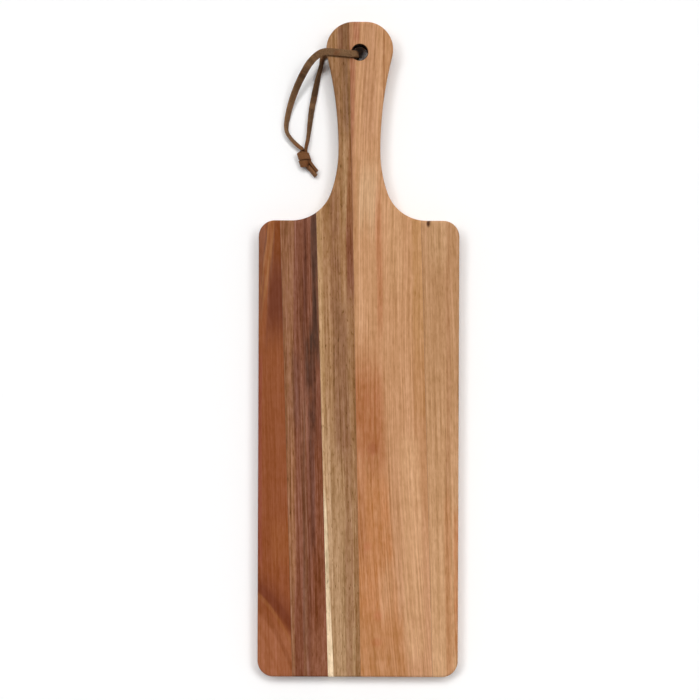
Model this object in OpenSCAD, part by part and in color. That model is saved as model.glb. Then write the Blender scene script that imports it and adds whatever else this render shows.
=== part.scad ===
// Paddle charcuterie board: five hardwood staves glued edge to edge and cut to a paddle outline,
// with a hang hole in the handle and a suede lace knotted through it.
// The board lies serving face up. X runs across it, Y towards the handle's end, Z up from the table.
// The lace passes under the handle, so the board rests on its far end and on the lace.

/* [Body] */
// Length of the body, from the far end to the shoulders
body_l = 341.5; // [280:0.5:420]
// Width of the body
body_w = 150; // [132:1:190]
// Thickness of the board
board_t = 15; // [12:0.5:22]
// Radius of the body's four corners, seen from above
corner_r = 12; // [6:0.5:18]
// Round-over along the outline's edges
edge_r = 2; // [1:0.1:3]

/* [Handle] */
// Length of the handle, from the shoulders to its end
handle_l = 148.5; // [136:0.5:170]
// Width of the handle's head
head_w = 50; // [46:0.5:54]
// Radius of the head's two corners
head_r = 20.5; // [17:0.5:22]
// Width of the handle's neck
neck_w = 31.4; // [26:0.2:36]
// Distance of the neck's narrowest place from the shoulders
neck_up = 52.5; // [44:0.5:60]
// Radius of the neck's curve towards the shoulders
neck_r = 95; // [75:1:120]
// Radius where the handle runs into the shoulders
shoulder_r = 31; // [22:1:40]

/* [Hang hole] */
// Diameter of the hang hole
hole_d = 12; // [11.5:0.5:15]
// Distance of the hang hole's centre from the handle's end
hole_in = 23; // [20:0.5:26]
// Round-over of the hang hole's rims
rim_r = 1; // [0.5:0.1:1.5]

/* [Staves] */
// Thickness of the glue between two staves
glue_t = 0.15; // [0.1:0.05:0.4]

/* [Lace] */
// Width of the suede lace
lace_w = 5.5; // [4:0.1:6]
// Thickness of the suede lace
lace_t = 2.2; // [1.6:0.1:2.6]
// Clearance between the lace and the board
lace_gap = 0.35; // [0.3:0.05:0.6]
// Length of the overhand knot
knot_l = 13; // [10:0.5:15]
// Thickness of the overhand knot without its outer turn
knot_d = 8.4; // [7:0.1:10]

/* [Hidden] */
$fn = 96;

// How far a cut runs past the face that it opens
overrun = 1;

// Places along the board, measured from the middle of its length
board_l = body_l + handle_l;
far_y = -board_l / 2;
shoulder_y = far_y + body_l;
neck_y = shoulder_y + neck_up;
end_y = board_l / 2;
hole_y = end_y - hole_in;

// Corner centres of the body and of the head
corner_x = body_w / 2 - corner_r;
head_x = head_w / 2 - head_r;
head_y = end_y - head_r;

// The neck's lower curve, and the fillet that carries it into the shoulder
neck_x = neck_w / 2 + neck_r;
fillet_y = shoulder_y + shoulder_r;
fillet_x = neck_x - sqrt(pow(neck_r - shoulder_r, 2) - pow(neck_y - fillet_y, 2));
flare_angle = 180 + atan2(neck_y - fillet_y, neck_x - fillet_x);

// The neck's upper curve, which meets the head's corners without a kink
head_rise = head_y - neck_y;
head_offset = neck_w / 2 - head_x;
throat_r = (pow(head_rise, 2) + pow(head_offset, 2) - pow(head_r, 2)) / (2 * (head_r - head_offset));
throat_x = neck_w / 2 + throat_r;
throat_angle = atan2(head_rise, throat_x - head_x);

// Steps in which each kind of arc is drawn
corner_steps = 8;
fillet_steps = 12;
neck_steps = 6;
throat_steps = 8;
head_steps = 16;
edge_steps = 4;

// The rim's round-over meets each face at a slight angle, so its circle is set a little deeper
round_depth_share = 0.15;

// Where the four glued joints cross the shoulders and the far end, in shares of the body's width
joint_shoulder_shares = [-0.393, -0.213, -0.033, 0.309];
joint_end_shares = [-0.325, -0.148, 0.015, 0.374];

// The lace under the handle lifts it, and the board leans back onto its far end
rest_y = far_y + edge_r;
lift = lace_t + lace_gap;
lean = asin(lift / (hole_y - rest_y));

// Height of the lace's middle where it lies on the table, and where it crosses the serving face
lace_low = lace_t / 2;
lace_high = lift + board_t + lace_gap + lace_t / 2;

// Route of the lace's front strand, from the middle of the hang hole over the serving face to the knot.
// Each row has X and Y from the hole's axis in mm, the height as a share of the climb from the table
// to the serving face, and the lace's roll in degrees.
front_route = [
    [-1.6, -1.6, 0.5, 0], [-1.6, -1.6, 0.64, 0], [-1.9, -1.6, 0.8, 0], [-2.6, -1.6, 0.91, 0],
    [-4, -1.6, 0.98, 0], [-6, -1.5, 1.01, 0], [-10, -1.1, 1, 0], [-17, -0.5, 1, 0], [-24, 0, 1, 0],
    [-28.4, -0.7, 0.99, -2], [-33, -3.6, 0.93, -8], [-37.9, -8.8, 0.8, -16], [-42.4, -16, 0.6, -28],
    [-46.6, -24.2, 0.4, -41], [-49.9, -32.1, 0.21, -49], [-52.4, -39.8, 0.08, -54],
    [-54.3, -47.8, 0.01, -62], [-55.1, -53.4, 0, -72], [-54.6, -58.4, 0, -79], [-52.2, -62.4, 0, -78],
    [-48.6, -66.4, 0, -75], [-45.7, -69, 0, -75], [-42.9, -71.4, 0, -77]
];

// Route of the lace's back strand, from the middle of the hang hole under the handle to the knot
back_route = [
    [-1.6, -1.6, 0.5, 0], [-1.6, -1.6, 0.36, 0], [-1.9, -1.6, 0.2, 0], [-2.6, -1.6, 0.09, 0],
    [-4, -1.5, 0.02, 0], [-6, -1.2, 0, 0], [-10, -0.7, 0, 0], [-17, -0.1, 0, 0], [-24.6, 0.4, 0, 0],
    [-27.1, -0.7, 0, -32], [-28.2, -3.4, 0, -68], [-28.9, -7.6, 0, -77], [-30.2, -13, 0, -73],
    [-32.2, -21.6, 0, -60], [-34, -30.7, 0, -51], [-35.9, -41, 0, -55], [-37.3, -51.7, 0, -67],
    [-38.1, -58.8, 0, -76], [-39, -64.8, 0, -82], [-40.1, -68.6, 0, -84], [-41.1, -71.6, 0, -86]
];

// Routes of the two cut ends, from inside the knot
short_tail_route = [
    [-38.8, -79.9, 0, 70], [-37.4, -81.6, 0, 75], [-34.7, -84.9, 0, 75], [-31.9, -88.3, 0, 75]
];
long_tail_route = [
    [-40.6, -81.8, 0, 70], [-39.4, -83.2, 0, 75], [-36, -87.3, 0, 75], [-32.5, -91.5, 0, 75]
];

// Middle of the knot from the hole's axis, and the direction in which the lace runs through it
knot_at = [-41, -77.4];
knot_heading = -75;
knot_turn_heading = -40;

// The knot's core swells from its ends, whose size is a share of its thickness
knot_end_share = 0.6;
knot_swell = knot_d / 2 * (1 - knot_end_share);
knot_bow_r = (pow(knot_l / 2, 2) + pow(knot_swell, 2)) / (2 * knot_swell);

// Past this share of its run, a climb or fall counts as the stretch inside the hang hole
steep_share = 0.7;

// Corners of the lace's section, in shares of half its width and half its thickness
lace_corner_shares = [
    [1, -0.45], [1, 0.45], [0.72, 1], [-0.72, 1], [-1, 0.45], [-1, -0.45], [-0.72, -1], [0.72, -1]
];

// Colours of the timber, the glue and the suede
red_heartwood = [0.60, 0.33, 0.20];
plum_heartwood = [0.46, 0.29, 0.23];
olive_heartwood = [0.59, 0.44, 0.30];
pink_tan = [0.78, 0.57, 0.40];
golden_tan = [0.75, 0.56, 0.38];
glue_brown = [0.42, 0.28, 0.18];
suede_brown = [0.40, 0.27, 0.16];

// Puts the board on the table, leaning back onto its far end
module settled() {
    translate([0, rest_y, 0]) rotate([lean, 0, 0]) translate([0, -rest_y, 0]) children();
}

// Points along an arc
function arc(centre, r, from_angle, to_angle, steps) = [
    for (k = [0:steps])
        let (angle = from_angle + (to_angle - from_angle) * k / steps)
            centre + r * [cos(angle), sin(angle)]
];

function but_last(points) = [for (i = [0:len(points) - 2]) points[i]];

// Right half of the outline from the far end to the handle's end, drawn in by an inset.
// An arc that runs on into the next leaves their shared point to it.
function right_half(inset) = concat(
    arc([corner_x, far_y + corner_r], corner_r - inset, -90, 0, corner_steps),
    arc([corner_x, shoulder_y - corner_r], corner_r - inset, 0, 90, corner_steps),
    but_last(arc([fillet_x, fillet_y], shoulder_r + inset, 270, flare_angle, fillet_steps)),
    but_last(arc([neck_x, neck_y], neck_r + inset, flare_angle, 180, neck_steps)),
    but_last(arc([throat_x, neck_y], throat_r + inset, 180, 180 - throat_angle, throat_steps)),
    arc([head_x, head_y], head_r - inset, -throat_angle, 90, head_steps)
);

// Inset and height of the rings that the round-overs pass through, from the back to the serving face
edge_rings = [
    for (side = [-1, 1], k = [0:edge_steps])
        let (angle = 90 * (side < 0 ? 1 - k / edge_steps : k / edge_steps))
            [edge_r * (1 - cos(angle)), board_t / 2 + side * (board_t / 2 - edge_r + edge_r * sin(angle))]
];

// The whole glued panel, shaped: each ring holds the right half's points and then the left half's
module shaped_panel() {
    half = len(right_half(0));
    points = [
        for (ring = edge_rings, side = [1, -1], at = right_half(ring[0]))
            [side * at.x, at.y, ring[1]]
    ];
    round_trip = [for (i = [0:2 * half - 1]) i < half ? i : 3 * half - 1 - i];
    walls = [
        for (ring = [0:len(edge_rings) - 2], i = [0:2 * half - 1])
            let (
                a = ring * 2 * half + round_trip[i],
                b = ring * 2 * half + round_trip[(i + 1) % (2 * half)],
                up = 2 * half
            )
                each [[a, a + up, b], [b, a + up, b + up]]
    ];
    // The strip under the shoulders has them along its upper side
    shoulder = 2 * corner_steps + 1;
    back = [
        for (i = [0:half - 2])
            if (i != shoulder)
                i == shoulder - 1
                    ? [i, i + 1, i + 2, half + i + 2, half + i + 1, half + i]
                    : [i, i + 1, half + i + 1, half + i]
    ];
    top = (len(edge_rings) - 1) * 2 * half;
    face = [for (strip = back) [for (i = [len(strip) - 1:-1:0]) top + strip[i]]];
    polyhedron(points, concat(back, walls, face));
}

// What the rim's round-over takes off, at the hole's wall: Y is the height
module rim_section() {
    depth = rim_r * round_depth_share;
    for (side = [-1, 1]) translate([0, board_t / 2 + side * board_t / 2]) difference() {
        translate([(rim_r - overrun) / 2, side * (overrun - rim_r) / 2])
            square(rim_r + overrun, center = true);
        translate([rim_r + depth, -side * (rim_r + depth)]) circle(r = norm([rim_r + depth, depth]));
    }
}

module hang_hole() {
    translate([0, hole_y, -overrun]) cylinder(d = hole_d, h = board_t + 2 * overrun);
    translate([0, hole_y]) rotate_extrude() translate([hole_d / 2, 0]) rim_section();
}

module panel() {
    difference() {
        shaped_panel();
        hang_hole();
    }
}

// Middle of a glued joint at a place along the board
function joint_x(i, y) =
    body_w * (joint_shoulder_shares[i]
              + (joint_end_shares[i] - joint_shoulder_shares[i]) * (shoulder_y - y) / body_l);

function stave_left(i, y) = i == 0 ? -body_w / 2 - overrun : joint_x(i - 1, y) + glue_t / 2;
function stave_right(i, y) =
    i == len(joint_end_shares) ? body_w / 2 + overrun : joint_x(i, y) - glue_t / 2;

// The piece of the panel between two lines, each given by its X at the far end and at the handle's end
module ripped(low_left, low_right, high_left, high_right) {
    settled() intersection() {
        panel();
        translate([0, 0, -overrun]) linear_extrude(board_t + 2 * overrun) polygon([
            [low_left, far_y - overrun], [low_right, far_y - overrun],
            [high_right, end_y + overrun], [high_left, end_y + overrun]
        ]);
    }
}

module stave(i) {
    low = far_y - overrun;
    high = end_y + overrun;
    ripped(stave_left(i, low), stave_right(i, low), stave_left(i, high), stave_right(i, high));
}

module glue_line(i) {
    low = joint_x(i, far_y - overrun);
    high = joint_x(i, end_y + overrun);
    ripped(low - glue_t / 2, low + glue_t / 2, high - glue_t / 2, high + glue_t / 2);
}

module left_edge_stave() { color(red_heartwood) stave(0); }
module left_stave() { color(plum_heartwood) stave(1); }
module handle_left_stave() { color(olive_heartwood) stave(2); }
module handle_right_stave() { color(pink_tan) stave(3); }
module right_edge_stave() { color(golden_tan) stave(4); }

module left_edge_glue_line() { color(glue_brown) glue_line(0); }
module left_glue_line() { color(glue_brown) glue_line(1); }
module handle_glue_line() { color(glue_brown) glue_line(2); }
module right_glue_line() { color(glue_brown) glue_line(3); }

function unit(v) = v / norm(v);

// Half the height that a rolled lace takes up, which is how high its middle lies over the table
function rolled_half(roll) = abs(sin(roll)) * lace_w / 2 + abs(cos(roll)) * lace_t / 2;

// Middle of the lace at a row of its route
function lace_point(row) = [
    row[0],
    hole_y + row[1],
    rolled_half(row[3]) + row[2] * (lace_high - lace_low)
];

function lace_heading(points, i) =
    unit(points[min(i + 1, len(points) - 1)] - points[max(i - 1, 0)]);

// Direction of the lace's width; where the lace runs up or down in the hole, side says which way is out
function lace_across(heading, side) =
    abs(heading.z) > steep_share ? unit(cross([side, 0, 0], heading)) : unit(cross([0, 0, 1], heading));

function lace_ring(point, heading, across, roll) = let (
    rolled = across * cos(roll) + cross(heading, across) * sin(roll),
    up = cross(heading, rolled)
) [
    for (corner = lace_corner_shares)
        point + rolled * corner[0] * lace_w / 2 + up * corner[1] * lace_t / 2
];

// A flat lace swept along its route
module lace(route, side = 1) {
    points = [for (row = route) lace_point(row)];
    sides = len(lace_corner_shares);
    last = len(route) - 1;
    rings = [
        for (i = [0:last])
            let (heading = lace_heading(points, i))
                each lace_ring(points[i], heading, lace_across(heading, side), route[i][3])
    ];
    walls = [
        for (i = [0:last - 1], k = [0:sides - 1])
            let (a = i * sides + k, b = i * sides + (k + 1) % sides)
                each [[a, a + sides, b], [b, a + sides, b + sides]]
    ];
    start = [for (k = [1:sides - 2]) [0, k, k + 1]];
    end = [for (k = [1:sides - 2]) [last * sides, last * sides + k + 1, last * sides + k]];
    polyhedron(rings, concat(walls, start, end));
}

module lace_front_strand() { color(suede_brown) lace(front_route, 1); }
module lace_back_strand() { color(suede_brown) lace(back_route, -1); }

// The knot's core lies on the table, and one turn of the lace goes round it
module lace_knot() {
    color(suede_brown) translate([knot_at.x, hole_y + knot_at.y, 0]) difference() {
        translate([0, 0, knot_d / 2]) {
            rotate([0, 90, knot_heading]) rotate_extrude() intersection() {
                translate([0, -knot_l / 2]) square([knot_d / 2, knot_l]);
                translate([knot_d / 2 - knot_bow_r, 0]) circle(r = knot_bow_r);
            }
            rotate([0, 90, knot_turn_heading]) rotate_extrude()
                translate([knot_d / 2 - lace_t / 2, -lace_w / 2]) square([lace_t, lace_w]);
        }
        translate([-knot_l, -knot_l, -knot_l]) cube([2 * knot_l, 2 * knot_l, knot_l]);
    }
}

module lace_short_tail() { color(suede_brown) lace(short_tail_route); }
module lace_long_tail() { color(suede_brown) lace(long_tail_route); }

left_edge_stave();
left_stave();
handle_left_stave();
handle_right_stave();
right_edge_stave();
left_edge_glue_line();
left_glue_line();
handle_glue_line();
right_glue_line();
lace_front_strand();
lace_back_strand();
lace_knot();
lace_short_tail();
lace_long_tail();
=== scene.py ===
"""Looks of a paddle charcuterie board: five glued acacia staves and a suede lace tied through the handle.

The board lies serving face up, with +X to the right and +Y towards the handle's end. Lengths are in metres,
except those of the patterns in the materials, which are in millimetres.
"""
import math

import bmesh
import bpy
from mathutils import Color, Matrix, Vector, noise


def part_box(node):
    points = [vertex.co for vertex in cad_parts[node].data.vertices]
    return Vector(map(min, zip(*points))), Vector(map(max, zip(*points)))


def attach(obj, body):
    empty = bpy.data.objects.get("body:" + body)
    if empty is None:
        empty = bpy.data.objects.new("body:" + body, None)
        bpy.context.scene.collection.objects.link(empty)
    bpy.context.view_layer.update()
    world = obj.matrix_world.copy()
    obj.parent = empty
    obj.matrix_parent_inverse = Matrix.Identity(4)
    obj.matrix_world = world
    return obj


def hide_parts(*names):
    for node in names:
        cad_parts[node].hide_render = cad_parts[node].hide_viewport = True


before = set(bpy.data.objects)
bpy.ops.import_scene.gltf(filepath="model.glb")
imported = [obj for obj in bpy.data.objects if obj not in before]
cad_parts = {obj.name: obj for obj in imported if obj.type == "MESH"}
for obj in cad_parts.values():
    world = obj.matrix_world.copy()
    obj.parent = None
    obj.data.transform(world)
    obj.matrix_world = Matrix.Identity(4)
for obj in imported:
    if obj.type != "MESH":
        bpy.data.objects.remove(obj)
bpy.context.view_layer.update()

UP = Vector((0, 0, 1))

# Outline of the board, as it is built
BODY_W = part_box("right_edge_stave")[1].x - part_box("left_edge_stave")[0].x
BODY_L = 0.3415
HANDLE_L = 0.1485
BOARD_T = 0.015
CORNER_R = 0.012
EDGE_R = 0.002
HEAD_W = 0.050
HEAD_R = 0.0205
NECK_W = 0.0314
NECK_UP = 0.0525
NECK_R = 0.095
SHOULDER_R = 0.031
HOLE_R = 0.006
HOLE_IN = 0.023
RIM_R = 0.001
GLUE_T = 0.00015

# Places along the board, from the middle of its length
FAR_Y = -(BODY_L + HANDLE_L) / 2
SHOULDER_Y = FAR_Y + BODY_L
NECK_Y = SHOULDER_Y + NECK_UP
END_Y = -FAR_Y
HOLE_Y = END_Y - HOLE_IN

# The four glued joints: where each crosses the shoulders and the far end, in shares of the body's width
JOINT_SHOULDER_SHARES = (-0.393, -0.213, -0.033, 0.309)
JOINT_END_SHARES = (-0.325, -0.148, 0.015, 0.374)

# The suede lace
LACE_W = 0.0055
LACE_T = 0.0022
LACE_GAP = 0.00035
LACE_EASE = 0.0005

# The lace passes under the handle, so the board leans back onto its far end
REST_Y = FAR_Y + EDGE_R
LIFT = LACE_T + LACE_GAP
LEAN = math.asin(LIFT / (HOLE_Y - REST_Y))
TO_REST = Matrix.Translation((0, REST_Y, 0))
SETTLED = TO_REST @ Matrix.Rotation(LEAN, 4, "X") @ TO_REST.inverted()


# Helpers for meshes and objects

def new_mesh(name, bm):
    """A mesh made of a bmesh, which isn't needed after that."""
    mesh = bpy.data.meshes.new(name)
    bm.to_mesh(mesh)
    bm.free()
    return mesh


def new_object(name, data):
    """An object that holds a mesh, a lamp or a camera, in the scene."""
    made = bpy.data.objects.new(name, data)
    bpy.context.collection.objects.link(made)
    return made


def finished(bm, name, body, slot, *nodes):
    """Makes a piece of a bmesh: it rides on a body and stands for CAD nodes, which it hides; the slot is not
    used.
    """
    bmesh.ops.recalc_face_normals(bm, faces=bm.faces)
    piece = new_object(name, new_mesh(name, bm))
    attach(piece, body)
    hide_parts(*nodes)
    return piece


# Camera: straight above the board, framed as the photograph is

CAMERA_RISE = 1.5
VIEW_SPAN = 0.5234
VIEW_CENTRE = Vector((-0.0065, -0.0004, BOARD_T))
CAMERA_ROLL = math.radians(0.2)


def make_camera():
    data = bpy.data.cameras.new("camera")
    data.lens = data.sensor_width * CAMERA_RISE / VIEW_SPAN
    camera = new_object("camera", data)
    camera.location = VIEW_CENTRE + CAMERA_RISE * UP
    camera.rotation_euler = (0, 0, CAMERA_ROLL)
    bpy.context.scene.camera = camera


# Lace: each strand runs from the middle of the hang hole, through the knot, to its cut end.
# A row has X and Y from the hole's axis, the height as a share of the climb from the table to the
# serving face, and the lace's roll in degrees.

FRONT_ROUTE = (
    (-0.0016, -0.0016, 0.5, 0), (-0.0016, -0.0016, 0.64, 10), (-0.0019, -0.0016, 0.8, 20),
    (-0.0026, -0.0016, 0.91, 20), (-0.004, -0.0016, 0.98, 12), (-0.006, -0.0015, 1.01, 2),
    (-0.01, -0.0011, 1, 0), (-0.017, -0.0005, 1, 0), (-0.024, 0, 1, 0), (-0.0284, -0.0007, 0.99, -2),
    (-0.033, -0.0036, 0.93, -8), (-0.0379, -0.0088, 0.8, -16), (-0.0424, -0.016, 0.6, -28),
    (-0.0466, -0.0242, 0.4, -41), (-0.0499, -0.0321, 0.21, -49), (-0.0524, -0.0398, 0.08, -54),
    (-0.0543, -0.0478, 0.01, -62), (-0.0551, -0.0534, 0, -72), (-0.0546, -0.0584, 0, -79),
    (-0.0522, -0.0624, 0, -78), (-0.0486, -0.0664, 0, -75), (-0.0457, -0.069, 0, -75),
    (-0.0429, -0.0714, 0, -77)
)
BACK_ROUTE = (
    (-0.0016, -0.0016, 0.5, 0), (-0.0016, -0.0016, 0.36, 0), (-0.0019, -0.0016, 0.2, 0),
    (-0.0026, -0.0016, 0.09, 0), (-0.004, -0.0015, 0.02, 0), (-0.006, -0.0012, 0, 0),
    (-0.01, -0.0007, 0, 0), (-0.017, -0.0001, 0, 0), (-0.0246, 0.0004, 0, 0),
    (-0.0271, -0.0007, 0, -32), (-0.0282, -0.0034, 0, -68), (-0.0289, -0.0076, 0, -77),
    (-0.0302, -0.013, 0, -73), (-0.0322, -0.0216, 0, -60), (-0.034, -0.0307, 0, -51),
    (-0.0359, -0.041, 0, -55), (-0.0373, -0.0517, 0, -67), (-0.0381, -0.0588, 0, -76),
    (-0.039, -0.0648, 0, -82), (-0.0399, -0.0686, 0, -84), (-0.0403, -0.0722, 0, -88),
    (-0.0396, -0.0762, 0, -95)
)
LONG_TAIL_ROUTE = (
    (-0.0421, -0.0742, 0, -82), (-0.0415, -0.0778, 0, -90), (-0.0404, -0.0814, 0, -98),
    (-0.0386, -0.0845, 0, -105), (-0.036, -0.0873, 0, -105), (-0.0325, -0.0915, 0, -105)
)
SHORT_TAIL_ROUTE = (
    (-0.0384, -0.0799, 0, -105), (-0.0372, -0.0816, 0, -105), (-0.0347, -0.0849, 0, -105),
    (-0.0319, -0.0883, 0, -105)
)

FRONT_LACE_L = 0.144
BACK_LACE_L = 0.125

LACE_LOW = LACE_T / 2
LACE_HIGH = LIFT + BOARD_T + LACE_GAP + LACE_T / 2
STEEP_SHARE = 0.7

# The overhand knot: both strands run through it, and its turns go round them
KNOT_MIDDLE = Vector((-0.0407, HOLE_Y - 0.0784, 0.0044))
KNOT_HEADING = math.radians(-70)
KNOT_AXIS = Vector((math.cos(KNOT_HEADING), math.sin(KNOT_HEADING), 0))
KNOT_RIGHT = UP.cross(KNOT_AXIS)
KNOT_L = 0.0088
KNOT_START = math.radians(250)
KNOT_TURNS = 1.5
KNOT_END_R = 0.0008
KNOT_R = 0.0042
KNOT_STEPS = 28
KNOT_FULLNESS = 0.5
KNOT_BULGE = 0.3

LACE_STEP = 0.0008
FEWEST_STEPS = 2
LACE_EASE_STEPS = 3
FRAY = 0.08
FRAY_PER_M = 400


def rolled_half(roll):
    """Half the height that a rolled lace takes up, which is how high its middle lies over the table."""
    return abs(math.sin(roll)) * LACE_W / 2 + abs(math.cos(roll)) * LACE_T / 2


def route_rows(route, side):
    """Points of a route, each with the direction that the lace's flat side faces."""
    rolls = [math.radians(row[3]) for row in route]
    points = [
        Vector((x, HOLE_Y + y, rolled_half(roll) + share * (LACE_HIGH - LACE_LOW)))
        for (x, y, share, _), roll in zip(route, rolls)
    ]
    rows = []
    for i, (point, roll) in enumerate(zip(points, rolls)):
        heading = (points[min(i + 1, len(points) - 1)] - points[max(i - 1, 0)]).normalized()
        steep = abs(heading.z) > STEEP_SHARE
        across = (Vector((side, 0, 0)) if steep else UP).cross(heading).normalized()
        rolled = Matrix.Rotation(roll, 3, heading) @ across
        rows.append((point, heading.cross(rolled)))
    return rows


def knot_rows():
    """Points of the knot's turns round its axis, tucked in at both ends."""
    rows = []
    for step in range(KNOT_STEPS + 1):
        share = step / KNOT_STEPS
        angle = KNOT_START - 2 * math.pi * KNOT_TURNS * share
        outward = KNOT_RIGHT * math.cos(angle) + UP * math.sin(angle)
        swollen = KNOT_R * (1 - KNOT_BULGE * math.cos(angle))
        radius = KNOT_END_R + (swollen - KNOT_END_R) * math.sin(math.pi * share) ** KNOT_FULLNESS
        along = KNOT_AXIS * KNOT_L * (share - 0.5)
        rows.append((KNOT_MIDDLE + along + outward * radius, outward))
    return rows


def same_side(facing, reference):
    """A direction, turned round if it points away from another one."""
    return facing if facing.dot(reference) > 0 else -facing


def smooth_run(rows):
    """Fills in a run of rows with points a small step apart on a cubic curve through them all."""
    run = []
    last = len(rows) - 1
    facing = rows[0][1]
    for i in range(last):
        before = rows[max(i - 1, 0)][0]
        after = rows[min(i + 2, last)][0]
        here, here_facing = rows[i]
        there, there_facing = rows[i + 1]
        reach = (there - here).length
        steps = max(FEWEST_STEPS, round(reach / LACE_STEP))
        ease_out = (there - before).normalized() * reach
        ease_in = (after - here).normalized() * reach
        here_facing = same_side(here_facing, facing)
        facing = same_side(there_facing, here_facing)
        for step in range(steps):
            t = step / steps
            point = (
                here * (2 * t ** 3 - 3 * t ** 2 + 1) + ease_out * (t ** 3 - 2 * t ** 2 + t)
                + there * (3 * t ** 2 - 2 * t ** 3) + ease_in * (t ** 3 - t ** 2)
            )
            run.append((point, here_facing.lerp(facing, t)))
    run.append((rows[-1][0], facing))
    return run


def lace_place(run, i):
    """Where the lace's section stands at a point of its run, with its cut edges a little uneven."""
    point, facing = run[i]
    heading = (run[min(i + 1, len(run) - 1)][0] - run[max(i - 1, 0)][0]).normalized()
    across = facing.cross(heading).normalized()
    flat = heading.cross(across)
    half_height = abs(across.z) * LACE_W / 2 + abs(flat.z) * LACE_T / 2
    lifted = Vector((point.x, point.y, max(point.z, half_height)))
    cut = 1 - FRAY * (1 + noise.noise(point * FRAY_PER_M)) / 2
    turned = Matrix((across * cut, flat * cut, heading)).transposed().to_4x4()
    return Matrix.Translation(lifted) @ turned


def swept_lace(name, rows, *nodes):
    """Sweeps the lace's section along a run; returns the piece and the points that it follows."""
    run = smooth_run(rows)
    bm = bmesh.new()
    corners = [
        bm.verts.new((x * LACE_W / 2, y * LACE_T / 2, 0))
        for x, y in ((-1, -1), (1, -1), (1, 1), (-1, 1))
    ]
    bm.faces.new(corners)
    bmesh.ops.bevel(
        bm, geom=corners, offset=LACE_EASE, offset_type="OFFSET", segments=LACE_EASE_STEPS,
        profile=0.5, affect="VERTICES", material=-1,
    )
    end = bm.faces[:][0]
    place = Matrix.Identity(4)
    for i in range(len(run)):
        next_place = lace_place(run, i)
        if i:
            end = next(
                item for item in bmesh.ops.extrude_face_region(bm, geom=[end])["geom"]
                if isinstance(item, bmesh.types.BMFace)
            )
        bmesh.ops.transform(bm, matrix=next_place @ place.inverted(), verts=end.verts)
        place = next_place
    bmesh.ops.holes_fill(bm, edges=[edge for edge in bm.edges if edge.is_boundary])
    # The sides are quads and shade smoothly; the cut ends stay flat
    for face in bm.faces:
        face.smooth = len(face.verts) == 4
    return finished(bm, name, "lace", "suede", *nodes), [point for point, _ in run]


def make_strand(name, route, side, length, pieces, *nodes):
    """One strand of the lace, swept from the hang hole along its route; the length and the pieces are not
    used.
    """
    strand, path = swept_lace(name, route_rows(route, side), *nodes)
    return strand


def make_lace():
    knot, _ = swept_lace("lace_knot_turns", knot_rows(), "lace_knot")
    front = make_strand(
        "front_lace", FRONT_ROUTE + LONG_TAIL_ROUTE, 1, FRONT_LACE_L, [knot],
        "lace_front_strand", "lace_long_tail",
    )
    back = make_strand(
        "back_lace", BACK_ROUTE + SHORT_TAIL_ROUTE, -1, BACK_LACE_L, [],
        "lace_back_strand", "lace_short_tail",
    )
    return front, back, knot


# Board: one shaped panel, ripped along the glued joints

CORNER_STEPS = 16
FILLET_STEPS = 20
NECK_STEPS = 10
THROAT_STEPS = 12
HEAD_STEPS = 28
HOLE_STEPS = 24
EDGE_STEPS = 6
RIM_STEPS = 4
CLOSE = 1e-6
CORNER_ANGLE = math.radians(60)
CREASE_ANGLE = math.radians(40)


def right_half(bm):
    """Draws the right half of the outline, with half of the hang hole, and fills it."""
    neck_x = NECK_W / 2 + NECK_R
    fillet_y = SHOULDER_Y + SHOULDER_R
    fillet_x = neck_x - math.sqrt((NECK_R - SHOULDER_R) ** 2 - (NECK_Y - fillet_y) ** 2)
    flare = math.atan2(NECK_Y - fillet_y, neck_x - fillet_x)
    head_x = HEAD_W / 2 - HEAD_R
    head_y = END_Y - HEAD_R
    rise = head_y - NECK_Y
    offset = NECK_W / 2 - head_x
    throat_r = (rise ** 2 + offset ** 2 - HEAD_R ** 2) / (2 * (HEAD_R - offset))
    throat_x = NECK_W / 2 + throat_r
    throat = math.atan2(rise, throat_x - head_x)
    corner_x = BODY_W / 2 - CORNER_R

    start = bm.verts.new((0, FAR_Y, 0))
    tip = start

    def line(x, y):
        nonlocal tip
        tip = bmesh.ops.extrude_vert_indiv(bm, verts=[tip])["verts"][0]
        tip.co = (x, y, 0)

    def arc(x, y, angle, steps):
        nonlocal tip
        turned = bmesh.ops.spin(bm, geom=[tip], cent=(x, y, 0), axis=UP, angle=angle, steps=steps)
        tip = turned["geom_last"][0]

    line(corner_x, FAR_Y)
    arc(corner_x, FAR_Y + CORNER_R, math.pi / 2, CORNER_STEPS)
    line(BODY_W / 2, SHOULDER_Y - CORNER_R)
    arc(corner_x, SHOULDER_Y - CORNER_R, math.pi / 2, CORNER_STEPS)
    line(fillet_x, SHOULDER_Y)
    arc(fillet_x, fillet_y, flare - math.pi / 2, FILLET_STEPS)
    arc(neck_x, NECK_Y, -flare, NECK_STEPS)
    arc(throat_x, NECK_Y, -throat, THROAT_STEPS)
    arc(head_x, head_y, math.pi / 2 + throat, HEAD_STEPS)
    line(0, END_Y)
    line(0, HOLE_Y + HOLE_R)
    arc(0, HOLE_Y, -math.pi, HOLE_STEPS)
    bm.edges.new((tip, start))
    bmesh.ops.contextual_create(bm, geom=bm.edges[:])


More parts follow.
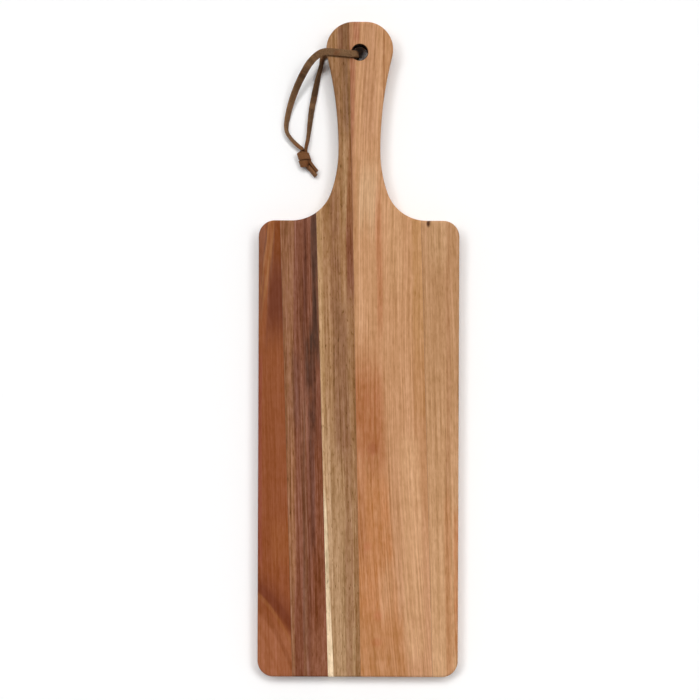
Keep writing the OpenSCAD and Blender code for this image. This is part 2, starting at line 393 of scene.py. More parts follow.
def shaped_panel():
    """The whole glued panel before it leans on the lace, with its edges and the hole's rims rounded over."""
    bm = bmesh.new()
    right_half(bm)
    bmesh.ops.mirror(bm, geom=bm.verts[:] + bm.edges[:] + bm.faces[:], axis="X", merge_dist=CLOSE)
    back = bmesh.ops.duplicate(bm, geom=bm.verts[:] + bm.edges[:] + bm.faces[:])["geom"]
    back_edges = [item for item in back if isinstance(item, bmesh.types.BMEdge) and item.is_boundary]
    bmesh.ops.extrude_edge_only(bm, edges=back_edges)
    back_verts = {item for item in back if isinstance(item, bmesh.types.BMVert)}
    top_verts = [vert for vert in bm.verts if vert not in back_verts]
    bmesh.ops.translate(bm, vec=(0, 0, BOARD_T), verts=top_verts)
    bmesh.ops.remove_doubles(bm, verts=bm.verts, dist=CLOSE)
    bmesh.ops.recalc_face_normals(bm, faces=bm.faces)
    hole = Vector((0, HOLE_Y))
    corner_edges = [
        edge for edge in bm.edges
        if edge.calc_face_angle() > CORNER_ANGLE and edge.verts[0].co.z == edge.verts[1].co.z
    ]
    rims = [edge for edge in corner_edges if (edge.verts[0].co.xy - hole).length < HOLE_R + CLOSE]
    edges = [edge for edge in corner_edges if edge not in rims]
    for bent, radius, steps in ((edges, EDGE_R, EDGE_STEPS), (rims, RIM_R, RIM_STEPS)):
        bmesh.ops.bevel(
            bm, geom=bent, offset=radius, offset_type="OFFSET", segments=steps, profile=0.5,
            affect="EDGES", material=-1, loop_slide=True,
        )
    return bm


def joint_place(i, side):
    """A point on a joint's left or right wall, and the wall's direction to the right."""
    shoulder = Vector((BODY_W * JOINT_SHOULDER_SHARES[i], SHOULDER_Y, 0))
    far = Vector((BODY_W * JOINT_END_SHARES[i], FAR_Y, 0))
    rightward = (shoulder - far).cross(UP).normalized()
    return shoulder + rightward * side * GLUE_T / 2, rightward


def ripped(panel, node, kind, slot, left, right):
    """The strip of the panel between two walls, either of which may be missing, for a CAD node."""
    bm = panel.copy()
    for wall, keeps_right in ((left, True), (right, False)):
        if wall is None:
            continue
        cut = bmesh.ops.bisect_plane(
            bm, geom=bm.verts[:] + bm.edges[:] + bm.faces[:], dist=CLOSE, plane_co=wall[0],
            plane_no=wall[1], clear_inner=keeps_right, clear_outer=not keeps_right,
        )["geom_cut"]
        bmesh.ops.edgeloop_fill(bm, edges=[item for item in cut if isinstance(item, bmesh.types.BMEdge)])
    bmesh.ops.recalc_face_normals(bm, faces=bm.faces)
    for face in bm.faces:
        face.smooth = True
    for edge in bm.edges:
        edge.smooth = edge.calc_face_angle(0) < CREASE_ANGLE
    bmesh.ops.transform(bm, matrix=SETTLED, verts=bm.verts)
    piece = finished(bm, f"{node}_{kind}", "board", slot, node)
    piece.modifiers.new("even shading", "WEIGHTED_NORMAL").keep_sharp = True
    return piece


STAVES = ("left_edge_stave", "left_stave", "handle_left_stave", "handle_right_stave", "right_edge_stave")
GLUE_LINES = ("left_edge_glue_line", "left_glue_line", "handle_glue_line", "right_glue_line")
SLOTS = ("red_heartwood", "plum_heartwood", "olive_heartwood", "pink_tan", "golden_tan")


def make_board():
    panel = shaped_panel()
    staves = []
    for i, (node, slot) in enumerate(zip(STAVES, SLOTS)):
        left = joint_place(i - 1, 1) if i else None
        right = joint_place(i, -1) if i < len(GLUE_LINES) else None
        staves.append(ripped(panel, node, "wood", slot, left, right))
    films = [
        ripped(panel, node, "film", "glue", joint_place(i, -1), joint_place(i, 1))
        for i, node in enumerate(GLUE_LINES)
    ]
    panel.free()
    return staves, films


# Helpers for shader nodes

MM = 1000
NOISE_DETAIL = 2
NOISE_GAIN = 4


def feed(tree, socket, value):
    """Links an output to a socket, or sets the socket to a plain value."""
    if isinstance(value, bpy.types.NodeSocket):
        tree.links.new(value, socket)
    else:
        socket.default_value = value


def add(tree, kind, values=(), **settings):
    """Adds a node, makes its settings and feeds its inputs, by name or number; returns its outputs."""
    made = tree.nodes.new("ShaderNode" + kind)
    for name, setting in settings.items():
        setattr(made, name, setting)
    for name, value in dict(values).items():
        feed(tree, made.inputs[name], value)
    return made.outputs


def maths(tree, operation, *values):
    return add(tree, "Math", enumerate(values), operation=operation)[0]


def ease(tree, value, start, stop):
    """0 before start, 1 past stop, and a smooth step between them."""
    steps = {"Value": value, "From Min": start, "From Max": stop}
    return add(tree, "MapRange", steps, interpolation_type="SMOOTHSTEP")[0]


def laid_over(tree, amount, under, over):
    """One colour laid over another, by the colour sockets of a Mix node."""
    return add(tree, "Mix", {0: amount, 6: under, 7: over}, data_type="RGBA")[2]


def place_in_mm(tree):
    """A point's place on its piece, in millimetres."""
    position = add(tree, "TexCoord")["Object"]
    return add(tree, "Mapping", {"Vector": position, "Scale": (MM, MM, MM)})[0]


def speckle(tree, place, per_mm, seed):
    """Noise from about -1 to 1, with its patches counted per millimetre each way."""
    spread = add(tree, "VectorMath", {0: place, 1: per_mm, 2: seed}, operation="MULTIPLY_ADD")[0]
    shares = add(tree, "TexNoise", {"Vector": spread, "Scale": 1, "Detail": NOISE_DETAIL})[0]
    return maths(tree, "MULTIPLY_ADD", shares, NOISE_GAIN, -NOISE_GAIN / 2)


def new_group(name, takes, gives):
    """Starts a node group; returns it with what it takes and where what it gives goes."""
    group = bpy.data.node_groups.new(name, "ShaderNodeTree")
    for direction, sockets in (("INPUT", takes), ("OUTPUT", gives)):
        for socket, kind in sockets.items():
            group.interface.new_socket(socket, in_out=direction, socket_type="NodeSocket" + kind)
    return group, group.nodes.new("NodeGroupInput").outputs, group.nodes.new("NodeGroupOutput").inputs


def new_material(name):
    """Starts a material; returns it, its node tree and its surface."""
    material = bpy.data.materials.new(name)
    material.use_nodes = True
    return material, material.node_tree, material.node_tree.nodes["Principled BSDF"].inputs


def tint(code):
    """A colour as a node takes it, from its hexadecimal code."""
    shares = [int(code[i:i + 2], 16) / 255 for i in (0, 2, 4)]
    return (*Color(shares).from_srgb_to_scene_linear(), 1)


# Timber: the groups that all five staves share. Places are in millimetres on the board before it leans.

WANDER = 0.9
WANDER_PER_MM = (0.03, 0.007, 0.02)
FEATHER = 0.5
FEATHER_PER_MM = (0.7, 0.015, 0.2)
RAGGED = 7
RAGGED_PER_MM = (0.45, 0.004, 0.1)
PATCHES_PER_MM = (0.4, 0.07, 0.2)
LAYER_TILT = 0.4
LINES_PER_MM = {
    "Broad lines": (0.2, 0.0035, 0.06),
    "Fine lines": (0.5, 0.006, 0.15),
    "Hairlines": (1.1, 0.014, 0.4),
    "Flecks": (0.65, 0.17, 0.3),
    "Ripple": (0.05, 0.14, 0.1),
}
MARKS_PER_MM = {
    "Dashes": (0.95, 0.2, 0.4),
    "Pores": (1.6, 0.06, 0.8),
}
MARK_ONSET = 0.4
MARK_FULL = 1.0
DEEPENING = 0.3
# Painted shade down the hang hole's bore: full within the first radius and none past the second, in
# millimetres
BORE_SHADE_FULL_R = 6.1
BORE_SHADE_CLEAR_R = 6.6


def timber_place():
    """Where a point lies: across and along the board, and in the timber's own grain."""
    group, source, result = new_group(
        "timber place",
        {"Position": "Vector", "Seed": "Float", "Lean": "Float", "Bow": "Float"},
        {"Across": "Float", "Along": "Float", "Ragged": "Float", "Patches": "Float", "Bore shade": "Float",
         "Grain": "Vector"},
    )
    unsettled = SETTLED.inverted()
    flat = add(group, "Mapping", {
        "Vector": source["Position"], "Location": unsettled.translation * MM,
        "Rotation": unsettled.to_euler(), "Scale": (MM, MM, MM),
    })[0]
    x, y, z = add(group, "SeparateXYZ", {0: flat})
    wander = speckle(group, flat, WANDER_PER_MM, source["Seed"])
    feather = speckle(group, flat, FEATHER_PER_MM, source["Seed"])
    ragged = speckle(group, flat, RAGGED_PER_MM, source["Seed"])
    wandered = maths(group, "MULTIPLY_ADD", wander, WANDER, x)
    depth = maths(group, "SUBTRACT", z, BOARD_T * MM)
    layered = maths(group, "MULTIPLY_ADD", depth, LAYER_TILT, wandered)
    leant = maths(group, "MULTIPLY_ADD", y, source["Lean"], layered)
    bowed = maths(group, "MULTIPLY_ADD", maths(group, "MULTIPLY", y, y), source["Bow"], leant)
    feed(group, result["Across"], maths(group, "MULTIPLY_ADD", feather, FEATHER, layered))
    feed(group, result["Along"], y)
    feed(group, result["Ragged"], maths(group, "MULTIPLY_ADD", ragged, RAGGED, y))
    feed(group, result["Patches"], speckle(group, flat, PATCHES_PER_MM, source["Seed"]))
    # Painted shade down the hang hole's bore, by the distance from its axis
    from_hole = add(group, "CombineXYZ", {0: x, 1: maths(group, "SUBTRACT", y, HOLE_Y * MM)})[0]
    radius = add(group, "VectorMath", {0: from_hole}, operation="LENGTH")["Value"]
    feed(group, result["Bore shade"], ease(group, radius, BORE_SHADE_CLEAR_R, BORE_SHADE_FULL_R))
    feed(group, result["Grain"], add(group, "CombineXYZ", {0: bowed, 1: y, 2: z})[0])
    return group


def streak_mask():
    """A streak between two straight sides, each given by its place at the shoulders and at the far end."""
    sides = ("Left upper", "Left lower", "Right upper", "Right lower")
    takes = dict.fromkeys(("Across", "Along", *sides, "Soft", "Top", "Bottom", "Fade"), "Float")
    group, source, result = new_group("streak mask", takes, {"Mask": "Float"})

    def past(upper, lower):
        side = add(group, "MapRange", {
            "Value": source["Along"], "From Min": SHOULDER_Y * MM, "From Max": FAR_Y * MM,
            "To Min": source[upper], "To Max": source[lower],
        }, clamp=False)[0]
        start = maths(group, "SUBTRACT", side, source["Soft"])
        stop = maths(group, "ADD", side, source["Soft"])
        return ease(group, source["Across"], start, stop)

    width = maths(group, "SUBTRACT", past("Left upper", "Left lower"), past("Right upper", "Right lower"))
    above_bottom = maths(group, "ADD", source["Bottom"], source["Fade"])
    below_top = maths(group, "SUBTRACT", source["Top"], source["Fade"])
    low = ease(group, source["Along"], source["Bottom"], above_bottom)
    high = ease(group, source["Along"], below_top, source["Top"])
    length = maths(group, "SUBTRACT", low, high)
    both = maths(group, "MULTIPLY", width, length)
    feed(group, result["Mask"], maths(group, "MAXIMUM", both, 0))
    return group


def wood_figure():
    """Lines, flecks and open pores over a colour; a darker line is also a deeper one."""
    takes = {"Colour": "Color", "Grain": "Vector", "Seed": "Float"}
    takes.update(dict.fromkeys((*LINES_PER_MM, *MARKS_PER_MM), "Float"))
    group, source, result = new_group("wood figure", takes, {"Colour": "Color", "Height": "Float"})
    shade = 1
    for name, per_mm in LINES_PER_MM.items():
        line = speckle(group, source["Grain"], per_mm, source["Seed"])
        shade = maths(group, "MULTIPLY_ADD", line, source[name], shade)
    for name, per_mm in MARKS_PER_MM.items():
        marks = ease(group, speckle(group, source["Grain"], per_mm, source["Seed"]), MARK_ONSET, MARK_FULL)
        shade = maths(group, "SUBTRACT", shade, maths(group, "MULTIPLY", marks, source[name]))
    deep = maths(group, "MULTIPLY_ADD", shade, -DEEPENING, 1 + DEEPENING)
    figured = add(group, "HueSaturation", {"Color": source["Colour"], "Value": shade, "Saturation": deep})
    feed(group, result["Colour"], figured[0])
    feed(group, result["Height"], shade)
    return group


TIMBER_PLACE = timber_place()
STREAK_MASK = streak_mask()
WOOD_FIGURE = wood_figure()

GRAIN_LEAN = 0.03
BEYOND = 300
WOOD_ROUGHNESS = 0.5
WOOD_GLOSS = 0.1
WOOD_RELIEF = 0.00003
WOOD_RELIEF_STRENGTH = 0.5
# Painted shade: the near-black colour laid down the hang hole's bore
BORE_SHADE_COLOUR = "1c0f08"

# Soft marks: how far their full colour reaches, and where a spot ends, in shares of their size
SWEEP_CORE_SHARE = 0.25
SPOT_CORE = 0.3
SPOT_EDGE = 1.2
# A share of the way along a sweep times the share that is left, halfway
HALFWAY_PRODUCT = 0.25


class Timber:
    """A stave's timber: streaks laid over a ground colour, with the fine figure over them all."""

    def __init__(self, name, seed, upper, lower, lean=GRAIN_LEAN, bow=0):
        self.material, self.tree, self.surface = new_material(name)
        self.seed = seed
        position = add(self.tree, "TexCoord")["Object"]
        self.place = add(
            self.tree, "Group", {"Position": position, "Seed": seed, "Lean": lean, "Bow": bow},
            node_tree=TIMBER_PLACE,
        )
        low_to_high = ease(self.tree, self.place["Along"], FAR_Y * MM, SHOULDER_Y * MM)
        self.colour = laid_over(self.tree, low_to_high, tint(lower), tint(upper))

    def lay(self, code, amount):
        """Lays a colour over what is there."""
        self.colour = laid_over(self.tree, amount, self.colour, tint(code))

    def within(self, away, core, edge, strength):
        """How much to lay at a distance: all of it within the core, and nothing past the edge."""
        return maths(self.tree, "MULTIPLY_ADD", ease(self.tree, away, core, edge), -strength, strength)

    def streak(self, code, left=(-BEYOND, -BEYOND), right=(BEYOND, BEYOND), span=(BEYOND, -BEYOND),
               soft=1, fade=20, strength=0.8, patchy=0):
        """Lays a streak: its sides are given at the shoulders and at the far end, its span along Y."""
        mask = add(self.tree, "Group", {
            "Across": self.place["Across"], "Along": self.place["Ragged"],
            "Left upper": left[0], "Left lower": left[1], "Right upper": right[0], "Right lower": right[1],
            "Soft": soft, "Top": span[0], "Bottom": span[1], "Fade": fade,
        }, node_tree=STREAK_MASK)["Mask"]
        cover = maths(self.tree, "MULTIPLY_ADD", self.place["Patches"], patchy, strength)
        self.lay(code, maths(self.tree, "MULTIPLY", mask, cover))

    def sweep(self, code, start, end, bow, breadth, strength):
        """Lays a band that runs aslant from one point to another, bowed along the board in between."""
        tree = self.tree
        ends = {"Value": self.place["Across"], "From Min": start[0], "From Max": end[0]}
        share = add(tree, "MapRange", ends, clamp=False)[0]
        straight = maths(tree, "MULTIPLY_ADD", share, end[1] - start[1], start[1])
        product = maths(tree, "MULTIPLY", share, maths(tree, "SUBTRACT", 1, share))
        middle = maths(tree, "MULTIPLY_ADD", product, bow / HALFWAY_PRODUCT, straight)
        away = maths(tree, "ABSOLUTE", maths(tree, "SUBTRACT", self.place["Along"], middle))
        self.lay(code, self.within(away, breadth * SWEEP_CORE_SHARE, breadth, strength))

    def spot(self, code, middle, size, strength):
        """Lays a soft oval mark."""
        tree = self.tree
        across, along = (
            maths(tree, "DIVIDE", maths(tree, "SUBTRACT", self.place[name], centre), reach)
            for name, centre, reach in zip(("Across", "Along"), middle, size)
        )
        squared = maths(tree, "MULTIPLY_ADD", across, across, maths(tree, "MULTIPLY", along, along))
        away = maths(tree, "SQRT", squared)
        self.lay(code, self.within(away, SPOT_CORE, SPOT_EDGE, strength))

    def finish(self, broad, fine, hair, flecks, ripple, dashes, pores):
        """Adds the fine figure, painted shade down the bore of the hang hole and the oiled surface."""
        figured = add(self.tree, "Group", {
            "Colour": self.colour, "Grain": self.place["Grain"], "Seed": self.seed, "Broad lines": broad,
            "Fine lines": fine, "Hairlines": hair, "Flecks": flecks, "Ripple": ripple, "Dashes": dashes,
            "Pores": pores,
        }, node_tree=WOOD_FIGURE)
        # Painted shade down the hang hole's bore, laid over the figure
        with_bore_shade = laid_over(self.tree, self.place["Bore shade"], figured["Colour"], tint(BORE_SHADE_COLOUR))
        feed(self.tree, self.surface["Base Color"], with_bore_shade)
        self.surface["Roughness"].default_value = WOOD_ROUGHNESS
        self.surface["Specular IOR Level"].default_value = WOOD_GLOSS
        relief = {"Height": figured["Height"], "Distance": WOOD_RELIEF, "Strength": WOOD_RELIEF_STRENGTH}
        feed(self.tree, self.surface["Normal"], add(self.tree, "Bump", relief)[0])
        return self.material


def red_heartwood():
    wood = Timber("red heartwood", seed=3, upper="8e502c", lower="8c4b29")
    wood.streak("855137", right=(-70.5, -76), span=(130, 20), soft=1.2, patchy=0.3)
    wood.streak("93592f", left=(-69, -82), right=(-64, -78), span=(130, 40), strength=0.7, patchy=0.4)
    wood.streak("744733", left=(-69.4, -97.8), right=(-68, -96.4), span=(130, 44), soft=0.5, patchy=0.3)
    wood.streak("a26a40", left=(-67.4, -112.6), right=(-66.1, -111.3), span=(130, 36), soft=0.5,
                strength=0.7)
    wood.streak("9c673e", left=(-63.6, -112), right=(-62, -110.4), span=(100, 22), soft=0.7, patchy=0.3)
    wood.streak("7c4c36", left=(-63.2, -93.4), right=(-61.5, -91.7), span=(96, 20), soft=0.7, strength=0.7)
    wood.streak("80441f", left=(-63, -66), span=(130, 46), soft=1.5, fade=30, strength=0.85)
    wood.streak("6c351f", left=(-62, -92), span=(84, -8), soft=1.6, fade=38, strength=0.95)
    wood.streak("8a4530", right=(-71.8, -72.2), span=(10, -170))
    wood.streak("96562e", left=(-72, -62), span=(-118, -172), soft=2, strength=0.6)
    wood.sweep("a06140", start=(-75, -214), end=(-49, -232), bow=4, breadth=24, strength=0.9)
    wood.sweep("a06140", start=(-75, -240), end=(-49, -250), bow=4, breadth=26, strength=0.9)
    wood.sweep("7d4025", start=(-75, -176), end=(-49, -203), bow=3, breadth=17, strength=0.7)
    wood.sweep("6d321c", start=(-75, -179), end=(-49, -208), bow=3, breadth=9, strength=0.65)
    wood.sweep("9c6036", start=(-75, -184), end=(-54, -212), bow=3, breadth=3.5, strength=0.5)
    wood.sweep("874a28", start=(-75, -192), end=(-55, -225), bow=3, breadth=6, strength=0.6)
    wood.sweep("945530", start=(-75, -206), end=(-58, -246), bow=3, breadth=5, strength=0.6)
    return wood.finish(broad=0.05, fine=0.09, hair=0.13, flecks=0.08, ripple=0.04, dashes=0.08, pores=0.12)


def plum_heartwood():
    wood = Timber("plum heartwood", seed=11, upper="7e4c36", lower="7f4a33")
    wood.streak("976747", right=(-48.7, -46.7), soft=0.7, patchy=0.3)
    wood.streak("6a3f2f", left=(-50.5, -48), right=(-44.6, -42), span=(4, -64), fade=16, strength=0.55,
                patchy=0.2)
    wood.streak("ad7856", right=(-46.5, -45.8), span=(-66, -184), soft=0.8, fade=16, strength=0.4,
                patchy=0.2)
    wood.streak("693d2d", left=(-41.4, -38.5), right=(-38.8, -36.5), span=(130, 14), soft=0.8, patchy=0.3)
    wood.streak("4a2f22", left=(-36, -30), span=(130, 6), soft=0.8, strength=0.82, patchy=0.2)
    wood.streak("4a2f22", left=(-35.5, -29), span=(44, -20), soft=0.8, fade=24, strength=0.75, patchy=0.3)
    wood.streak("3c271c", left=(-41.8, -35), right=(-39, -32), span=(28, -46), soft=1.6, fade=34,
                strength=0.75, patchy=0.3)
    wood.streak("3c271c", left=(-38.4, -31.6), right=(-35.2, -27.5), span=(34, -36), soft=0.8, fade=26,
                strength=0.7, patchy=0.3)
    wood.streak("5a3526", left=(-40, -33.5), right=(-35.5, -27), span=(4, -100), fade=30, strength=0.7,
                patchy=0.5)
    wood.streak("74402a", left=(-34.5, -28.5), span=(-20, -90), soft=0.7, strength=0.7, patchy=0.3)
    wood.streak("855639", left=(-42.9, -40.3), right=(-41.1, -36.5), span=(-24, -BEYOND), soft=0.7,
                patchy=0.4)
    wood.streak("623a2a", left=(-41.6, -40.9), right=(-40.1, -39.4), span=(34, -230), soft=0.5,
                strength=0.55, patchy=0.2)
    wood.streak("8a5c46", left=(-43.3, -43.3), right=(-42, -42), span=(70, -120), soft=0.5, strength=0.5)
    wood.streak("7d5036", left=(-33.3, -23.5), span=(64, -10), soft=0.4, strength=0.6)
    wood.streak("824b31", left=(-37.2, -32.9), span=(-60, -BEYOND), strength=0.7, patchy=0.3)
    wood.streak("5c3325", left=(-38.9, -33.8), right=(-34.4, -31), span=(-62, -164), strength=0.7)
    wood.streak("9a664c", left=(-37, -35), span=(-196, -BEYOND), strength=0.35, patchy=0.2)
    wood.streak("6d3f2d", left=(-42, -38.5), right=(-37, -35), span=(-70, -BEYOND), strength=0.35,
                patchy=0.2)
    return wood.finish(broad=0.08, fine=0.25, hair=0.33, flecks=0.18, ripple=0.03, dashes=0.25, pores=0.25)


def olive_heartwood():
    wood = Timber("olive heartwood", seed=23, upper="a0744d", lower="b08a64")
    wood.streak("b88f64", right=(-28.2, -18.9), span=(BEYOND, -128), soft=0.9, patchy=0.2)
    wood.streak("a0764e", right=(-19.5, -19.5), span=(BEYOND, 196), soft=2, strength=0.5)
    wood.streak("8e6142", left=(-22.2, -17.8), right=(-15.5, -4.6), span=(130, 10), soft=1.5,
                strength=0.65, patchy=0.4)
    wood.streak("8e6344", left=(-22, -11.5), right=(-12, 1.6), span=(50, -96), soft=2, fade=30,
                strength=0.95, patchy=0.3)
    wood.streak("8a5c3c", left=(-13, -8), right=(-6.5, -3), span=(-50, -BEYOND), soft=1.2, fade=30,
                strength=0.5, patchy=0.2)
    wood.streak("c39d78", right=(-26.5, -15.5), span=(-44, -196), fade=30, strength=0.5, patchy=0.2)
    wood.streak("7d5535", left=(-10.6, -3.4), right=(-6.3, 0.9), span=(BEYOND, 150), soft=1.2, fade=24,
                strength=0.85, patchy=0.2)
    wood.streak("835b3d", right=(-10.6, -3.4), span=(226, 150), soft=1.2, fade=24, strength=0.4, patchy=0.2)
    wood.streak("ab835c", left=(-12.5, -11.3), right=(-9.5, -8.3), span=(170, 84), soft=0.8)
    wood.streak("7f5839", left=(-8.3, -1.1), right=(-6.6, 0.6), span=(BEYOND, 156), soft=0.7, patchy=0.3)
    wood.streak("7a4c2c", left=(-6.5, 0.7), span=(BEYOND, 214), soft=0.5, strength=0.7)
    wood.streak("7e523a", left=(-13.3, -6.1), right=(-9.7, -2.5), span=(BEYOND, 206), strength=0.6,
                patchy=0.3)
    wood.streak("8f5937", left=(-9.7, -21.3), span=(172, 60), soft=0.8, fade=24, strength=0.75)
    wood.streak("7c472e", left=(-9.8, -6.9), span=(112, 16), soft=0.8, fade=40, strength=0.9)
    wood.streak("8f613b", left=(-8.3, -0.8), span=(50, -BEYOND), strength=0.6, patchy=0.3)
    wood.streak("8f6242", left=(-10, -2.6), right=(-8.6, -1.2), span=(-130, -220), soft=0.5, strength=0.7)
    wood.streak("cda680", right=(-30.9, -21.2), span=(8, -150), soft=0.4)
    wood.streak("e9cda8", right=(-35, -17.4), span=(-100, -BEYOND), soft=0.6, strength=1)
    return wood.finish(broad=0.07, fine=0.22, hair=0.25, flecks=0.18, ripple=0.03, dashes=0.5, pores=0.3)


def pink_tan():
    wood = Timber("pink tan", seed=37, upper="c49167", lower="c5916a", lean=0.0166, bow=-0.000166)
    wood.streak("d1a67e", left=(-0.5, -4.6), right=(13, 14.2), span=(150, 78), soft=2, fade=30)
    wood.streak("b07d57", left=(2, 2), right=(12, 12), span=(BEYOND, 140), soft=2, fade=30,
                strength=0.5, patchy=0.2)
    wood.streak("a9744e", right=(-2.6, 4.6), span=(160, 80), soft=0.8, strength=0.6, patchy=0.2)
    wood.streak("a26445", left=(-5.4, -5.4), right=(-0.3, -0.3), span=(BEYOND, 226), fade=10,
                strength=0.75, patchy=0.2)
    wood.streak("a3714e", right=(-2.4, 4.8), span=(BEYOND, 190), soft=0.6, fade=30, strength=0.7,
                patchy=0.2)
    wood.streak("cf9f74", left=(21, 23), right=(32, 34), span=(130, 30), soft=2.5, fade=30, strength=0.45)
    wood.streak("bf8b60", left=(18, 18), span=(BEYOND, 160), soft=0.8)
    wood.streak("a06b40", left=(17.2, 17.2), right=(18.2, 18.2), span=(BEYOND, 170), soft=0.6, strength=0.9)
    wood.streak("9c5f41", right=(-3.5, -3.5), span=(238, 136), soft=0.8, fade=30, strength=0.75, patchy=0.2)
    wood.streak("8a5535", right=(-4.2, 3), span=(214, 26), soft=0.5, fade=30, strength=0.6)
    wood.streak("b5754d", left=(11.7, 18.2), right=(16.2, 22.6), span=(135, -4), soft=1.4, fade=40,
                strength=0.7)
    wood.streak("b98755", left=(39.1, 46.8), span=(130, -60), soft=2, strength=0.6, patchy=0.3)
    wood.streak("b3774d", right=(9, 33), span=(24, -118), soft=3.5, fade=60, strength=0.85, patchy=0.2)
    wood.streak("ba7b4c", right=(5.2, 34.9), span=(-74, -236), soft=3, fade=36, strength=0.85, patchy=0.2)
    wood.streak("a8673e", right=(12, 26), span=(0, -108), soft=4, fade=40, strength=0.65, patchy=0.3)
    wood.streak("a0663f", right=(-2, 10), span=(-84, -172), soft=2.5, fade=24, strength=0.5, patchy=0.2)
    wood.streak("b27c50", left=(38.6, 44.5), span=(20, -150), soft=1.5, fade=40, strength=0.5, patchy=0.2)
    wood.streak("d0a078", left=(17, 17), right=(28, 28), span=(-150, -215), soft=3, strength=0.45)
    wood.streak("b57b4d", right=(17.2, 37.4), span=(-190, -BEYOND), soft=3, patchy=0.3)
    wood.streak("cf9f74", left=(25.9, 36.6), right=(41.9, 50.7), span=(-56, -240), soft=2.5,
                strength=0.6, patchy=0.3)
    wood.spot("9a5634", middle=(11.3, -74), size=(5, 6), strength=0.6)
    wood.spot("b86f49", middle=(7.2, -147), size=(4, 4), strength=0.5)
    wood.spot("b86f49", middle=(15.3, -199), size=(4, 5), strength=0.5)
    wood.spot("b86f49", middle=(14.3, -219), size=(5, 4), strength=0.5)
    return wood.finish(broad=0.04, fine=0.12, hair=0.18, flecks=0.1, ripple=0.035, dashes=0.08, pores=0.16)


def golden_tan():
    wood = Timber("golden tan", seed=51, upper="b5865d", lower="c99a70")
    wood.streak("aa7850", left=(64.6, 66.7), right=(67.9, 69.6), soft=0.8, strength=0.6, patchy=0.3)
    wood.streak("ba8054", left=(60.9, 66.5), right=(66.2, 71.7), span=(-100, -BEYOND), strength=0.5)
    wood.streak("be7d50", left=(71, 72.4), span=(-110, -235), strength=0.6, patchy=0.3)
    wood.streak("cda278", left=(52, 58), right=(66, 70), span=(BEYOND, 52), soft=3, fade=24, strength=0.4)
    wood.spot("401c0c", middle=(51.9, 94.4), size=(1.8, 3.2), strength=0.9)
    return wood.finish(broad=0.05, fine=0.11, hair=0.17, flecks=0.12, ripple=0.03, dashes=0.12, pores=0.2)


# Glue and suede

GLUE_DARK = "56351f"
GLUE_PALE = "7a5032"
GLUE_PATCHES_PER_MM = (0.3, 0.05, 0.3)


def cured_glue():
    material, tree, surface = new_material("cured glue")
    patches = ease(tree, speckle(tree, place_in_mm(tree), GLUE_PATCHES_PER_MM, (0, 0, 0)), -1, 1)
    feed(tree, surface["Base Color"], laid_over(tree, patches, tint(GLUE_DARK), tint(GLUE_PALE)))
    surface["Roughness"].default_value = WOOD_ROUGHNESS
    return material


# Each of the suede's noises has its patches per millimetre and its seed
MOTTLE_NOISE = (0.15, 0)
NAP_NOISE = (1.1, 7)
FIBRE_NOISE = (5, 13)
BLOTCH_NOISE = (0.12, 29)
MOTTLE_SHARE = 0.35
NAP_SHARE = 0.5
BLOTCH_FULL = 1.6
NAP_HEIGHT_SHARE = 0.6
NAP_RELIEF = 0.00015

SUEDE_DARK = "674a30"
SUEDE_PALE = "9a7452"
SUEDE_BLOTCH = "8d4f2a"
SUEDE_SHEEN = "b08a60"
SUEDE_ROUGHNESS = 0.9
SUEDE_GLOSS = 0.15
SHEEN_WEIGHT = 0.15
SHEEN_ROUGHNESS = 0.6

# The knot is ruddier than the rest, and painted shade darkens the strands beside the handle
RUDDY = "8e5024"
RUDDY_SHARE = 0.42
RUDDY_PLACE = KNOT_MIDDLE * MM
RUDDY_REACH = (18, 9)
SHADED = "4c3421"
SHADED_SHARE = 0.6
SHADED_PLACE = Vector((-0.0385, HOLE_Y - 0.02, 0.006)) * MM
SHADED_REACH = (20, 9)


def near(tree, place, middle, reach, share):
    """Nothing past the first distance from a point, and the whole share within the second."""
    away = add(tree, "VectorMath", {0: place, 1: middle}, operation="DISTANCE")["Value"]
    return maths(tree, "MULTIPLY", ease(tree, away, *reach), share)


def suede():
    material, tree, surface = new_material("suede")
    place = place_in_mm(tree)
    mottle, nap, fibres, blotches = (
        speckle(tree, place, (per_mm,) * 3, (seed,) * 3)
        for per_mm, seed in (MOTTLE_NOISE, NAP_NOISE, FIBRE_NOISE, BLOTCH_NOISE)
    )
    worn = maths(tree, "MULTIPLY_ADD", nap, NAP_SHARE, maths(tree, "MULTIPLY", mottle, MOTTLE_SHARE))
    dyed = laid_over(tree, ease(tree, worn, -1, 1), tint(SUEDE_DARK), tint(SUEDE_PALE))
    blotched = laid_over(tree, ease(tree, blotches, 0, BLOTCH_FULL), dyed, tint(SUEDE_BLOTCH))
    at_knot = near(tree, place, RUDDY_PLACE, RUDDY_REACH, RUDDY_SHARE)
    # Painted shade on both strands beside the handle
    painted_shade_at_handle = near(tree, place, SHADED_PLACE, SHADED_REACH, SHADED_SHARE)
    knotted = laid_over(tree, at_knot, blotched, tint(RUDDY))
    feed(tree, surface["Base Color"], laid_over(tree, painted_shade_at_handle, knotted, tint(SHADED)))
    surface["Roughness"].default_value = SUEDE_ROUGHNESS
    surface["Specular IOR Level"].default_value = SUEDE_GLOSS
    surface["Sheen Weight"].default_value = SHEEN_WEIGHT
    surface["Sheen Roughness"].default_value = SHEEN_ROUGHNESS
    surface["Sheen Tint"].default_value = tint(SUEDE_SHEEN)
    height = maths(tree, "MULTIPLY_ADD", nap, NAP_HEIGHT_SHARE, fibres)
    feed(tree, surface["Normal"], add(tree, "Bump", {"Height": height, "Distance": NAP_RELIEF})[0])
    return material


# Studio: a white floor under an arc of soft lamps, from one side round the handle's end to the other

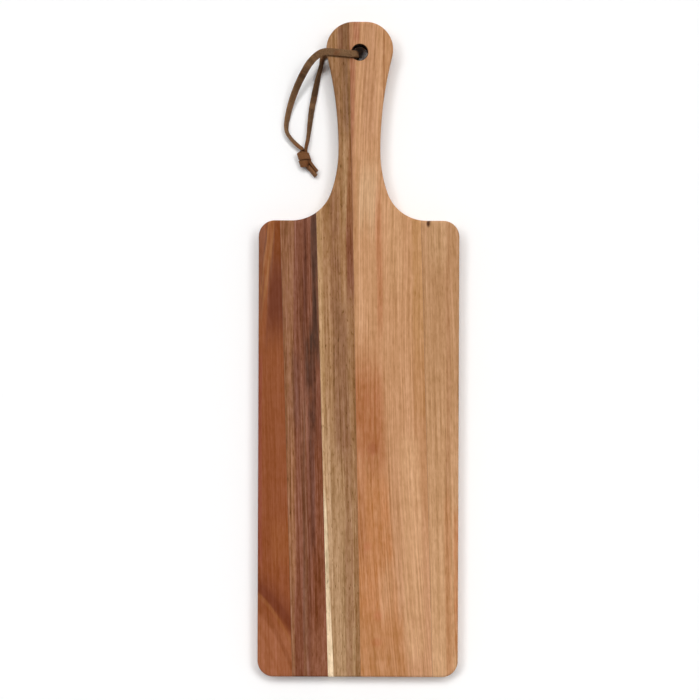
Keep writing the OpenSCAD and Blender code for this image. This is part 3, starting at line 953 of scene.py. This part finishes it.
LAMPS = 7
LAMP_ACROSS_SLOPE = 0.55
LAMP_ALONG_SLOPE = 0.56
LAMP_SPREAD = math.radians(15)
LAMP_LIGHT = 0.415
FLOOR_SIZE = 6
WHITE = (1, 1, 1, 1)

# The sky is dark straight above the board, so that little light falls down the hang hole
SKY_LIGHT = 0.29
SKY_DARK_WITHIN = math.radians(25)
SKY_LIT_PAST = math.radians(40)


def make_lamps():
    for i in range(LAMPS):
        angle = math.pi * (i + 0.5) / LAMPS
        towards = Vector((LAMP_ACROSS_SLOPE * math.cos(angle), LAMP_ALONG_SLOPE * math.sin(angle), 1))
        data = bpy.data.lights.new("soft lamp", "SUN")
        data.angle = LAMP_SPREAD
        data.energy = LAMP_LIGHT
        lamp = new_object("soft lamp", data)
        lamp.rotation_euler = (-towards).to_track_quat("-Z", "Y").to_euler()


def make_floor():
    bm = bmesh.new()
    bmesh.ops.create_grid(bm, x_segments=1, y_segments=1, size=FLOOR_SIZE / 2)
    floor = new_object("floor", new_mesh("floor", bm))
    paper, _, surface = new_material("white paper")
    surface["Base Color"].default_value = WHITE
    surface["Roughness"].default_value = 1
    surface["Specular IOR Level"].default_value = 0
    floor.data.materials.append(paper)


def make_world():
    world = bpy.data.worlds.new("studio")
    world.use_nodes = True
    tree = world.node_tree
    sky = tree.nodes["Background"].inputs
    sky["Color"].default_value = WHITE
    rise = add(tree, "SeparateXYZ", {0: add(tree, "TexCoord")["Generated"]})["Z"]
    lit = ease(tree, rise, math.cos(SKY_DARK_WITHIN), math.cos(SKY_LIT_PAST))
    feed(tree, sky["Strength"], maths(tree, "MULTIPLY", lit, SKY_LIGHT))
    bpy.context.scene.world = world
    bpy.context.scene.view_settings.view_transform = "Standard"


# Making: the camera and the lace come first

make_camera()
lace = make_lace()
staves, films = make_board()
make_lamps()
make_floor()
make_world()

timbers = (red_heartwood(), plum_heartwood(), olive_heartwood(), pink_tan(), golden_tan())
for stave, timber in zip(staves, timbers):
    stave.data.materials.append(timber)
for pieces, finish in ((films, cured_glue()), (lace, suede())):
    for piece in pieces:
        piece.data.materials.append(finish)
